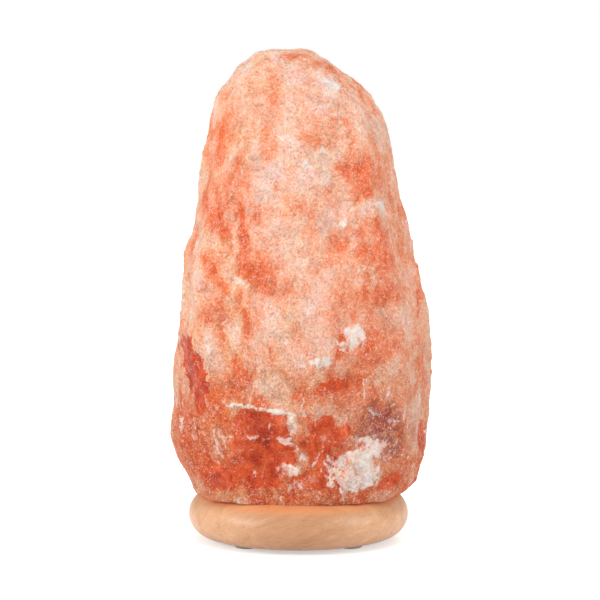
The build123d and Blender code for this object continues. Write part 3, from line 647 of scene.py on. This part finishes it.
def make_rock_salt():
    """Grain from pale to orange, clear windows, white crust and cracks, over small broken facets."""
    material, tree, shader = new_material(
        "rock salt",
        IOR=1.54,
        Specular_IOR_Level=0.18,
        Subsurface_Weight=0.6,
        Subsurface_Radius=(0.003, 0.0012, 0.0007),
        Subsurface_Scale=1.0,
    )
    place = object_place(tree)
    x, _, z = axes(tree, place)

    def stored(name):
        """A value that the hewn block carries."""
        return add(tree, "ShaderNodeAttribute", attribute_name=name).outputs["Fac"]

    def swing(value, amount):
        """A noise value as a push up or down about nought."""
        return times(tree, minus(tree, value, 0.5), amount)

    def total(*values):
        """The sum of two or more values."""
        result = values[0]
        for value in values[1:]:
            result = plus(tree, result, value)
        return result

    def ridged(value, low, high):
        """Thin lines where a noise value crosses its middle."""
        near = calc(tree, "ABSOLUTE", minus(tree, value, 0.5))
        return step_between(tree, near, high, low)

    def share(value, amount):
        """A part of a value, where the amount is a number or a value too."""
        return times(tree, value, amount)

    # Noise of several sizes. Much of it is drawn out in height, along the salt's own layers.
    bent = pushed(tree, place, cloud(tree, place, 0.016, 3.0, 0.6, seed=9.0, colour_out=True), 0.012)
    upright = calc_vector(tree, "MULTIPLY", bent, (1.0, 1.0, 0.6))
    broad = cloud(tree, place, 0.042, 2.0, 0.5, 0.3, seed=1.0)
    middle = cloud(tree, upright, 0.013, 3.0, 0.58, 0.8, seed=2.0)
    fibre = cloud(tree, upright, 0.0052, 2.0, 0.55, 1.5, seed=3.0)
    crumb = cloud(tree, place, 0.0018, 2.0, 0.6, 0.5, seed=10.0)
    fine = cloud(tree, place, 0.0009, 1.0, 0.5, seed=4.0)
    soft = cloud(tree, upright, 0.013, 1.0, 0.5, 0.8, seed=2.0)
    crusty = cloud(tree, upright, 0.012, 6.0, 0.66, 1.0, seed=13.0)
    scratch = ridged(cloud(tree, upright, 0.010, 3.0, 0.6, 1.6, seed=5.0), 0.002, 0.012)
    scratched = step_between(tree, cloud(tree, place, 0.011, 2.0, seed=11.0), 0.50, 0.58)
    crease = ridged(cloud(tree, upright, 0.013, 3.0, 0.6, 1.0, seed=6.0), 0.001, 0.010)
    creased = step_between(tree, cloud(tree, place, 0.014, 2.0, seed=12.0), 0.48, 0.58)
    lowness = step_between(tree, z, 0.17, 0.05)

    # Painted light from above: paler towards the top and redder towards the foot. Paler also on what stands
    # out, and redder in the hollows.
    relief = stored("relief")
    painted_light_from_above = step_between(tree, z, 0.03, 0.11, -0.15, 0.0)
    painted_light_from_above = total(painted_light_from_above, step_between(tree, z, 0.12, 0.26, 0.0, 0.07))
    pale_mark = stored("pale_salt")
    orange_mark = stored("orange_salt")
    calm = total(1.0, share(pale_mark, -0.25), share(orange_mark, -0.3))
    grain = share(total(swing(soft, 0.6), swing(middle, 0.75), swing(fibre, 0.45)), calm)
    tone = total(0.475, swing(broad, 0.45), grain, painted_light_from_above, share(relief, 0.10))
    patchy = step_between(tree, middle, 0.30, 0.60, 1.05, 0.75)
    tone = total(tone, share(pale_mark, 0.19), share(share(orange_mark, patchy), -0.26))
    base = shades(tree, tone, *GRAIN_SHADES)

    # Some of it is more amber than pink, above all on the left.
    amber = step_between(tree, cloud(tree, bent, 0.030, 2.0, 0.5, seed=21.0), 0.42, 0.62)
    leftward = step_between(tree, x, 0.030, -0.030, 0.35, 1.0)
    base = blend(tree, share(amber, leftward), base, AMBER, "MULTIPLY")

    def broken(mark, low, high, raggedness):
        """A mark with its edge broken up by the grain."""
        edge = total(mark, swing(middle, raggedness), swing(fibre, raggedness * 0.8))
        return step_between(tree, edge, low, high)

    # The purplish salt, the clear salt over it, painted shade towards the foot where less light falls from
    # above, and the crust over all.
    jumble = total(0.5, swing(middle, 1.2), swing(fibre, 1.5), swing(crumb, 0.9))
    plum = broken(stored("plum_salt"), 0.25, 0.95, 2.4)
    bruised = total(0.5, swing(middle, 1.6), swing(fibre, 0.8))
    base = blend(tree, share(plum, 0.95), base, shades(tree, bruised, *PLUM_SHADES))
    clear_share = broken(stored("clear_salt"), 0.22, 0.60, 1.0)
    depth = total(0.42, swing(broad, 0.5), swing(middle, 1.3), swing(fibre, 0.5), share(relief, 0.05))
    # Painted shade at the far left: the streak there is made deeper than the two windows at the front, to
    # darken it under the left lamp.
    depth = total(depth, step_between(tree, x, -0.052, -0.060, 0.0, -0.22))
    base = blend(tree, share(clear_share, 0.95), base, shades(tree, depth, *CLEAR_SHADES))
    foot_painted_shade = share(lowness, total(1.0, share(clear_share, -0.6)))
    base = blend(tree, foot_painted_shade, base, PAINTED_FOOT_SHADE, "MULTIPLY")
    crust_mark = broken(stored("sugary_salt"), 0.26, 0.82, 1.8)
    threshold = total(0.625, share(lowness, -0.02))
    frost = step_between(tree, total(crusty, share(relief, 0.02)), threshold, total(threshold, 0.035))
    crust = calc(tree, "MAXIMUM", crust_mark, share(frost, 0.8))
    base = blend(tree, share(crust, 0.97), base, shades(tree, jumble, *CRUST_SHADES))

    # White scratches, clearest low down, and orange creases.
    scratch_share = share(scratch, scratched)
    scratch_cover = share(scratch_share, total(0.55, share(lowness, 0.25)))
    base = blend(tree, scratch_cover, base, SUGAR)
    crease_share = share(crease, creased)
    base = blend(tree, share(crease_share, 0.45), base, EMBER)

    # Scattered crystals: small pale flakes, fewer of them in the clear salt.
    flakes = add(tree, "ShaderNodeTexVoronoi", {"Vector": bent, "Scale": 1 / FLAKE_SIZE})
    tint = add(tree, "ShaderNodeSeparateColor", {"Color": flakes.outputs["Color"]})
    near = step_between(tree, flakes.outputs["Distance"], 0.40, 0.22)
    chosen = calc(tree, "GREATER_THAN", tint.outputs[0], total(0.80, share(clear_share, 0.14)))
    flake = share(near, chosen)
    base = blend(tree, share(flake, 0.32), base, WHITE)

    # The sugary grain has bright points, which are painted glints, and pits that are a little darker and
    # warmer, most of all low down.
    sugared = total(fine, swing(crumb, 0.4))
    points = step_between(tree, sugared, 0.58, 0.68, 0.0, 0.32)
    base = blend(tree, share(points, total(1.0, share(clear_share, -0.7))), base, WHITE)
    pit_depth = total(0.35, share(lowness, 0.10), share(crust, -0.20))
    pits = share(step_between(tree, sugared, 0.56, 0.26), pit_depth)
    what_stays = [total(1.0, share(pits, -loss)) for loss in PIT_LOSS]
    pitted = add(tree, "ShaderNodeCombineColor", dict(enumerate(what_stays))).outputs[0]
    base = blend(tree, 1.0, base, pitted, "MULTIPLY")
    feed(tree, shader.inputs["Base Color"], base)

    # The clear salt and the flakes shine more.
    rough = step_between(tree, clear_share, 0.0, 1.0, 0.60, 0.38)
    feed(tree, shader.inputs["Roughness"], total(rough, share(flake, -0.2)))

    def facets(size, jog, seed):
        """Broken faces of a size, each tilted its own way, as a height in metres."""
        moved = pushed(tree, bent, cloud(tree, place, size * 1.4, 2.0, seed=seed, colour_out=True), jog)
        cells = add(tree, "ShaderNodeTexVoronoi", {"Vector": moved, "Scale": 1 / size})
        away = calc_vector(tree, "SUBTRACT", moved, cells.outputs["Position"])
        lean = calc_vector(tree, "SUBTRACT", cells.outputs["Color"], (0.5, 0.5, 0.5))
        return calc_vector(tree, "DOT_PRODUCT", away, lean)

    rough_place = step_between(tree, cloud(tree, place, 0.024, 2.0, seed=15.0), 0.40, 0.60, 0.35, 1.0)
    large_facets = share(facets(LARGE_FACET, 0.006, 16.0), rough_place)
    fine_height = total(FINE_FACET_HEIGHT, share(clear_share, FINE_FACET_IN_CLEAR - FINE_FACET_HEIGHT))
    fine_facets = share(facets(FINE_FACET, 0.0010, 17.0), fine_height)
    height = total(share(fibre, 0.25), share(crumb, 0.20), share(fine, 0.30))
    height = total(height, share(large_facets, LARGE_FACET_HEIGHT), fine_facets)
    height = total(height, share(jumble, 0.10), share(crust, 0.10))
    height = total(height, share(flake, 0.10), share(crease_share, -0.15), share(scratch_share, 0.06))
    bump(tree, shader, height, BUMP_DEPTH)
    return material


rock_salt = make_rock_salt()

# ---- The crystal --------------------------------------------------------------------------------------
BORE_RADIUS = 25.0 * MM
BORE_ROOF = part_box("bulb_glass")[1][2] + 18.3 * MM
ROOF_ROUND = 6.0 * MM
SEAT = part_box("salt_crystal")[0][2]
PLUG_ACROSS = 42.0 * MM
PLUG_HOLE = 4.1 * MM
PLUG_MOUTH = 5.1 * MM
PLUG_MOUTH_DEPTH = 1.5 * MM
PLUG_ROOF = 63.0 * MM
BORE_FILL = 25.6 * MM  # the fillers reach a little past the walls and the roofs that they close
HOLE_FILL = 5.8 * MM
HOLE_FILL_ROOF = 65.0 * MM
SPARE_FOOT = 3 * MM  # left under the seat for the hewing, and cut away after it
SEAT_CUT = 0.12
VOXEL = 1.35 * MM
SOFTENING = 8


def turned_solid(name, outline, across=0.0, sides=96):
    """A closed solid turned about an upright line, from (radius, height) points that run upwards."""
    work = bmesh.new()
    rings = []
    for radius, height in outline:
        if radius == 0:
            rings.append([work.verts.new((across, 0, height))])
            continue
        ring = []
        for number in range(sides):
            angle = 2 * math.pi * number / sides
            ring.append(work.verts.new((across + radius * math.cos(angle), radius * math.sin(angle), height)))
        rings.append(ring)
    for below, above in zip(rings, rings[1:]):
        for number in range(sides):
            after = (number + 1) % sides
            corners = [below[number % len(below)], below[after % len(below)]]
            corners += [above[after % len(above)], above[number % len(above)]]
            unique = list(dict.fromkeys(corners))
            if len(unique) > 2:
                work.faces.new(unique)
    bmesh.ops.recalc_face_normals(work, faces=work.faces)
    mesh = bpy.data.meshes.new(name)
    work.to_mesh(mesh)
    work.free()
    return new_object(name, mesh)


def post(name, radius, low, high, across=0.0, sides=96):
    """A plain round post between two heights."""
    return turned_solid(name, [(0, low), (radius, low), (radius, high), (0, high)], across, sides)


def make_crystal():
    """The block, with its bore and holes filled, made fine, hewn, and then bored and cut flat again."""
    mesh = nodes["salt_crystal"].data.copy()
    work = bmesh.new()
    work.from_mesh(mesh)
    bmesh.ops.remove_doubles(work, verts=work.verts, dist=1e-6)
    work.to_mesh(mesh)
    work.free()
    fillers = [post("bore_filler", BORE_FILL, SEAT, BORE_ROOF + MM)]
    for across in (-PLUG_ACROSS, PLUG_ACROSS):
        fillers.append(post("hole_filler", HOLE_FILL, SEAT, HOLE_FILL_ROOF, across, 24))
    work = bmesh.new()
    work.from_mesh(mesh)
    for filler in fillers:
        work.from_mesh(filler.data)
        bpy.data.objects.remove(filler)
    # The underside is let down a little, to be cut flat at the seat once the block is hewn.
    for vertex in work.verts:
        if vertex.co.z < SEAT + 0.05 * MM:
            vertex.co.z -= SPARE_FOOT
    work.to_mesh(mesh)
    work.free()
    block = new_object("block", mesh)
    remesh = block.modifiers.new("fine", "REMESH")
    remesh.mode = "VOXEL"
    remesh.voxel_size = VOXEL
    soften = block.modifiers.new("soften", "SMOOTH")
    soften.factor = 0.5
    soften.iterations = SOFTENING
    hew = block.modifiers.new("hew", "NODES")
    hew.node_group = build_hewn_salt()
    sizes = RELIEF_SIZES | {"Seed": RELIEF_SEED, "Finish": rock_salt}
    for item in hew.node_group.interface.items_tree:
        if item.in_out == "INPUT" and item.name in sizes:
            hew[item.identifier] = sizes[item.name]
    block = applied(block, "hewn_crystal")

    roof_bend = [
        (
            BORE_RADIUS - ROOF_ROUND + ROOF_ROUND * math.cos(math.radians(angle)),
            BORE_ROOF - ROOF_ROUND + ROOF_ROUND * math.sin(math.radians(angle)),
        )
        for angle in range(0, 91, 15)
    ]
    below = SEAT - 12 * MM
    cutters = [
        turned_solid("bore", [(0, below), (BORE_RADIUS, below), *roof_bend, (0, BORE_ROOF)]),
        post("seat", SEAT_CUT, below - MM, SEAT),
    ]
    step = SEAT + PLUG_MOUTH_DEPTH
    for across in (-PLUG_ACROSS, PLUG_ACROSS):
        outline = [(0, below), (PLUG_MOUTH, below), (PLUG_MOUTH, step), (PLUG_HOLE, step)]
        outline += [(PLUG_HOLE, PLUG_ROOF), (0, PLUG_ROOF)]
        cutters.append(turned_solid("plug_hole", outline, across, 32))
    for cutter in cutters:
        cut = block.modifiers.new("cut", "BOOLEAN")
        cut.operation = "DIFFERENCE"
        cut.solver = "MANIFOLD"
        cut.object = cutter
        block = applied(block, "hewn_crystal")
        bpy.data.objects.remove(cutter)
    block.data.materials.clear()
    block.data.materials.append(rock_salt)
    block.data.polygons.foreach_set("use_smooth", [True] * len(block.data.polygons))
    block.data.set_sharp_from_angle(angle=math.radians(55))
    return block


crystal = make_crystal()
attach(crystal, "lamp_body")
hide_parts("salt_crystal")


# ---- Beech --------------------------------------------------------------------------------------------
BEECH_SHADES = (
    (0.32, colour(190, 132, 88)),
    (0.45, colour(207, 154, 112)),
    (0.55, colour(214, 164, 123)),
    (0.70, colour(232, 186, 144)),
)
RAY_FLECK = colour(168, 108, 70)
DARK_FLECK = colour(140, 82, 46)
TURNING_LINE = colour(176, 118, 78)
SALT_GLOW = colour(240, 150, 92)
# Painted shade for the front and the lower edge of the base
PAINTED_WOOD_SHADE = (0.80, 0.75, 0.70, 1)  # laid over by multiplying
GRAIN_LEAN = 0.30  # in radians, up towards one side
TURNING_PITCH = 0.0016


def make_beech():
    """Beech cut along X, turned, and varnished: long fibres, short ray flecks and faint turning lines."""
    material, tree, shader = new_material("beech", Roughness=0.46, Coat_Weight=0.25, Coat_Roughness=0.36)
    place = object_place(tree)
    x, y, z = axes(tree, place)
    lean = {"Vector": place, "Angle": GRAIN_LEAN}
    leaning = add(tree, "ShaderNodeVectorRotate", lean, rotation_type="Y_AXIS").outputs[0]

    def drawn_out(squeeze):
        """The leaning place squeezed along the grain, which draws a pattern on it out."""
        return calc_vector(tree, "MULTIPLY", leaning, (squeeze, 1.0, 1.0))

    growth = cloud(tree, drawn_out(0.16), 0.010, 4.0, 0.6, 0.8, seed=7.0)
    fibres = cloud(tree, drawn_out(0.10), 0.0011, 2.0, 0.6, seed=8.0)
    fleck = step_between(tree, cloud(tree, drawn_out(0.30), 0.0010, 1.0, seed=18.0), 0.62, 0.70)
    upright = calc_vector(tree, "MULTIPLY", place, (1.0, 0.5, 0.35))
    mark = step_between(tree, cloud(tree, upright, 0.0021, 1.0, seed=19.0), 0.735, 0.76)
    tone = plus(tree, times(tree, growth, 0.65), times(tree, fibres, 0.35))
    base = shades(tree, tone, *BEECH_SHADES)
    base = blend(tree, times(tree, fleck, 0.30), base, RAY_FLECK)
    base = blend(tree, times(tree, mark, 0.55), base, DARK_FLECK)
    # The turning tool left lines round the lower edge.
    waves = calc(tree, "SINE", times(tree, z, 2 * math.pi / TURNING_PITCH))
    lines = step_between(tree, waves, 0.86, 0.99)
    lines = times(tree, lines, step_between(tree, z, 0.012, 0.007))
    base = blend(tree, times(tree, lines, 0.22), base, TURNING_LINE)
    # Painted shade: darker through the front and along the lower edge, where less light falls.
    across = step_between(tree, calc(tree, "ABSOLUTE", x), 0.012, 0.055, 1.0, 0.0)
    darker = times(tree, across, step_between(tree, y, -0.02, -0.05, 0.0, 1.0))
    darker = calc(tree, "MAXIMUM", darker, step_between(tree, z, 0.012, 0.003, 0.0, 0.6))
    base = blend(tree, darker, base, PAINTED_WOOD_SHADE, "MULTIPLY")
    # Light that has come through the salt warms the wood beside it.
    beside = step_between(tree, z, 0.0235, 0.0275, 0.0, 0.45)
    base = blend(tree, beside, base, SALT_GLOW)
    feed(tree, shader.inputs["Base Color"], base)
    bump(tree, shader, minus(tree, fibres, plus(tree, fleck, mark)), 0.0002, 0.30)
    return material


def dress(node, material):
    """Give a CAD node a material."""
    slots = nodes[node].material_slots
    if not slots:
        nodes[node].data.materials.append(material)
    for slot in slots:
        slot.material = material


dress("wooden_base", make_beech())


# ---- Plainer finishes: metals, plastics, ceramic, felt and glass --------------------------------------
def build_handled_group():
    """Faint cloudy wear on a surface: its roughness and a height for its bump."""
    tree, given, out = new_group(
        "Handled surface",
        "ShaderNodeTree",
        {"Place": "Vector", "Size": 0.002, "Roughness": 0.3, "Wear": 0.1},
        {"Roughness": "Float", "Height": "Float", "Mask": "Float"},
    )
    grain = cloud(tree, given["Place"], given["Size"], 4.0, 0.6)
    worn = times(tree, minus(tree, grain, 0.5), given["Wear"])
    feed(tree, out["Roughness"], plus(tree, given["Roughness"], worn))
    feed(tree, out["Height"], grain)
    feed(tree, out["Mask"], step_between(tree, grain, 0.45, 0.6))
    return tree


handled_group = build_handled_group()


def make_finish(name, paler, darker, roughness, size, wear, depth, stretch=(1, 1, 1), **plain):
    """A finish that runs between two shades, with wear of a size and depth in millimetres."""
    material, tree, shader = new_material(name, **plain)
    place = calc_vector(tree, "MULTIPLY", object_place(tree), stretch)
    inputs = {"Place": place, "Size": size * MM, "Roughness": roughness, "Wear": wear}
    handled = add(tree, "ShaderNodeGroup", node_tree=handled_group)
    for label, value in inputs.items():
        feed(tree, handled.inputs[label], value)
    shade = blend(tree, handled.outputs["Mask"], colour(*darker), colour(*paler))
    feed(tree, shader.inputs["Base Color"], shade)
    feed(tree, shader.inputs["Roughness"], handled.outputs["Roughness"])
    bump(tree, shader, handled.outputs["Height"], depth * MM, 0.5)
    return material


def make_metal(name, paler, darker, roughness, size, wear, depth=0.1, stretch=(1, 1, 1)):
    return make_finish(name, paler, darker, roughness, size, wear, depth, stretch, Metallic=1.0)


zinc = make_metal("zinc plate", (206, 207, 203), (188, 190, 188), 0.34, 1.6, 0.25)
nickel = make_metal("nickel plate", (212, 211, 205), (196, 196, 192), 0.28, 4, 0.15, stretch=(1, 0.12, 1))
spring_steel = make_metal("spring strip", (196, 198, 202), (176, 179, 184), 0.25, 3, 0.2, stretch=(1, 1, 0.1))
brass = make_metal("brass", (224, 190, 118), (206, 168, 96), 0.26, 2, 0.2)
aluminium = make_metal("rolled aluminium", (222, 222, 220), (206, 206, 205), 0.3, 3, 0.2, stretch=(1, 1, 6))
solder = make_metal("solder", (186, 186, 188), (160, 161, 165), 0.36, 1.2, 0.2, 0.2)
tungsten = make_metal("tungsten", (112, 110, 108), (84, 82, 82), 0.45, 0.6, 0.2, 0.0)
phenolic = make_finish("black phenolic", (44, 43, 42), (34, 33, 33), 0.42, 0.8, 0.15, 0.1)
black_glass = make_finish("black glass", (28, 27, 30), (20, 20, 22), 0.12, 2, 0.05, 0.1)
ceramic = make_finish("ceramic", (236, 230, 216), (224, 217, 202), 0.62, 1.2, 0.1, 0.2)
nylon = make_finish("grey nylon", (182, 182, 180), (168, 168, 167), 0.5, 2, 0.1, 0.1)
felt = make_finish("pale felt", (226, 210, 188), (204, 186, 162), 0.95, 0.5, 0.05, 0.6, Sheen_Weight=0.4)
glass, tree, shader = new_material("clear glass", Roughness=0.02, IOR=1.5, Transmission_Weight=1.0)
faint = cloud(tree, object_place(tree), 0.012, 2.0)
feed(tree, shader.inputs["Base Color"], blend(tree, faint, colour(250, 252, 251), colour(255, 255, 255)))

for material, pieces in (
    (felt, ["foot_pads"]),
    (zinc, ["fixing_screws", "clip_rivets", "terminal_screws"]),
    (nylon, ["screw_plugs"]),
    (nickel, ["clip_plate", "screw_shell"]),
    (spring_steel, ["clip_feet", "spring_clip_1", "spring_clip_2", "spring_clip_3"]),
    (brass, ["entry_nipple", "nipple_nut", "centre_contact", "side_contact"]),
    (phenolic, ["holder_cap", "holder_sleeve"]),
    (ceramic, ["contact_block"]),
    (glass, ["bulb_glass", "bulb_stem"]),
    (aluminium, ["bulb_cap"]),
    (black_glass, ["bulb_insulator"]),
    (solder, ["bulb_contact", "filament_leads"]),
    (tungsten, ["filament"]),
):
    for piece in pieces:
        dress(piece, material)


# ---- Wound pieces: the bulb's filament, and the thread rolled into its cap -----------------------------
THREAD_PITCH = 2.82 * MM  # of the small screw cap
THREAD_TURNS = 3.75
THREAD_FOOT = 1.8 * MM  # above the lower edge of the cap
THREAD_BEAD = 0.30 * MM
THREAD_SUNK = 0.05 * MM  # how far inside the cap's wall the bead's middle runs
THREAD_POINTS = 48  # in one turn
FILAMENT_TURNS = 34
FILAMENT_POINTS = 12  # in one turn
WIRE_SIDES = 8


def finish_wire(tree, path, radius, finish, out):
    """Give a path its round section and its material."""
    section = add(tree, "GeometryNodeCurvePrimitiveCircle", {"Radius": radius})
    section.inputs["Resolution"].default_value = WIRE_SIDES
    wire = add(tree, "GeometryNodeCurveToMesh", {"Curve": path, "Profile Curve": section.outputs[0]})
    wire.inputs["Fill Caps"].default_value = True
    real = add(tree, "GeometryNodeRealizeInstances", {"Geometry": wire.outputs[0]}).outputs[0]
    feed(tree, out, add(tree, "GeometryNodeSetMaterial", {"Geometry": real, "Material": finish}).outputs[0])


def build_wound_wire():
    """A wire wound in a fine coil, whose axis is bent in an arc that stands up in the X-Z plane."""
    tree, given, out = new_group(
        "Wound wire",
        "GeometryNodeTree",
        {
            "Arc centre": "Vector",
            "Arc radius": 0.0035,
            "Arc angle": math.pi,
            "Coil radius": 0.00018,
            "Turns": 30.0,
            "Wire radius": 0.00007,
            "Points": 300,
            "Finish": "Material",
        },
        {"Wire": "Geometry"},
    )
    line = add(tree, "GeometryNodeCurvePrimitiveLine").outputs[0]
    fine_line = add(tree, "GeometryNodeResampleCurve", {"Curve": line, "Count": given["Points"]}).outputs[0]
    along = add(tree, "GeometryNodeSplineParameter").outputs["Factor"]
    winding = times(tree, times(tree, along, given["Turns"]), 2 * math.pi)
    angle = times(tree, along, given["Arc angle"])
    outwards = times(tree, calc(tree, "COSINE", winding), given["Coil radius"])
    radius = plus(tree, given["Arc radius"], outwards)
    winding_place = {
        "X": times(tree, radius, calc(tree, "COSINE", angle)),
        "Y": times(tree, calc(tree, "SINE", winding), given["Coil radius"]),
        "Z": times(tree, radius, calc(tree, "SINE", angle)),
    }
    place = add(tree, "ShaderNodeCombineXYZ", winding_place).outputs[0]
    place = calc_vector(tree, "ADD", place, given["Arc centre"])
    wound = add(tree, "GeometryNodeSetPosition", {"Geometry": fine_line, "Position": place}).outputs[0]
    finish_wire(tree, wound, given["Wire radius"], given["Finish"], out["Wire"])
    return tree


def build_rolled_thread():
    """A round bead that runs up a cylinder as a screw thread."""
    tree, given, out = new_group(
        "Rolled thread",
        "GeometryNodeTree",
        {
            "Foot": "Vector",
            "Radius": 0.0066,
            "Pitch": THREAD_PITCH,
            "Turns": THREAD_TURNS,
            "Bead radius": THREAD_BEAD,
            "Finish": "Material",
        },
        {"Wire": "Geometry"},
    )
    height = times(tree, given["Pitch"], given["Turns"])
    spiral = add(tree, "GeometryNodeCurveSpiral", {"Rotations": given["Turns"], "Height": height})
    for name in ("Start Radius", "End Radius"):
        feed(tree, spiral.inputs[name], given["Radius"])
    spiral.inputs["Resolution"].default_value = THREAD_POINTS
    standing = {"Geometry": spiral.outputs[0], "Translation": given["Foot"]}
    stood = add(tree, "GeometryNodeTransform", standing).outputs[0]
    finish_wire(tree, stood, given["Bead radius"], given["Finish"], out["Wire"])
    return tree


def wind(name, group, finish, **values):
    """Make a wound piece from its group and the group's named values."""
    thing = new_object(name, bpy.data.meshes.new(name))
    modifier = thing.modifiers.new(name, "NODES")
    modifier.node_group = group
    values = {label.replace("_", " "): value for label, value in values.items()} | {"Finish": finish}
    for item in group.interface.items_tree:
        if item.in_out == "INPUT" and item.name in values:
            modifier[item.identifier] = values[item.name]
    thing = applied(thing, name)
    thing.data.polygons.foreach_set("use_smooth", [True] * len(thing.data.polygons))
    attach(thing, "bulb_turning")
    return thing


low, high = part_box("filament")
filament_radius = (high[1] - low[1]) / 2
coil = wind(
    "coiled_filament",
    build_wound_wire(),
    tungsten,
    Arc_centre=((low[0] + high[0]) / 2, (low[1] + high[1]) / 2, low[2]),
    Arc_radius=(high[0] - low[0]) / 2 - filament_radius,
    Coil_radius=filament_radius * 0.7,
    Turns=float(FILAMENT_TURNS),
    Wire_radius=filament_radius * 0.28,
    Points=FILAMENT_TURNS * FILAMENT_POINTS,
)
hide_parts("filament")

low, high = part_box("bulb_cap")
thread = wind(
    "cap_thread",
    build_rolled_thread(),
    aluminium,
    Foot=(0.0, 0.0, low[2] + THREAD_FOOT),
    Radius=(high[0] - low[0]) / 2 - THREAD_SUNK,
    Pitch=THREAD_PITCH,
    Turns=THREAD_TURNS,
    Bead_radius=THREAD_BEAD,
)
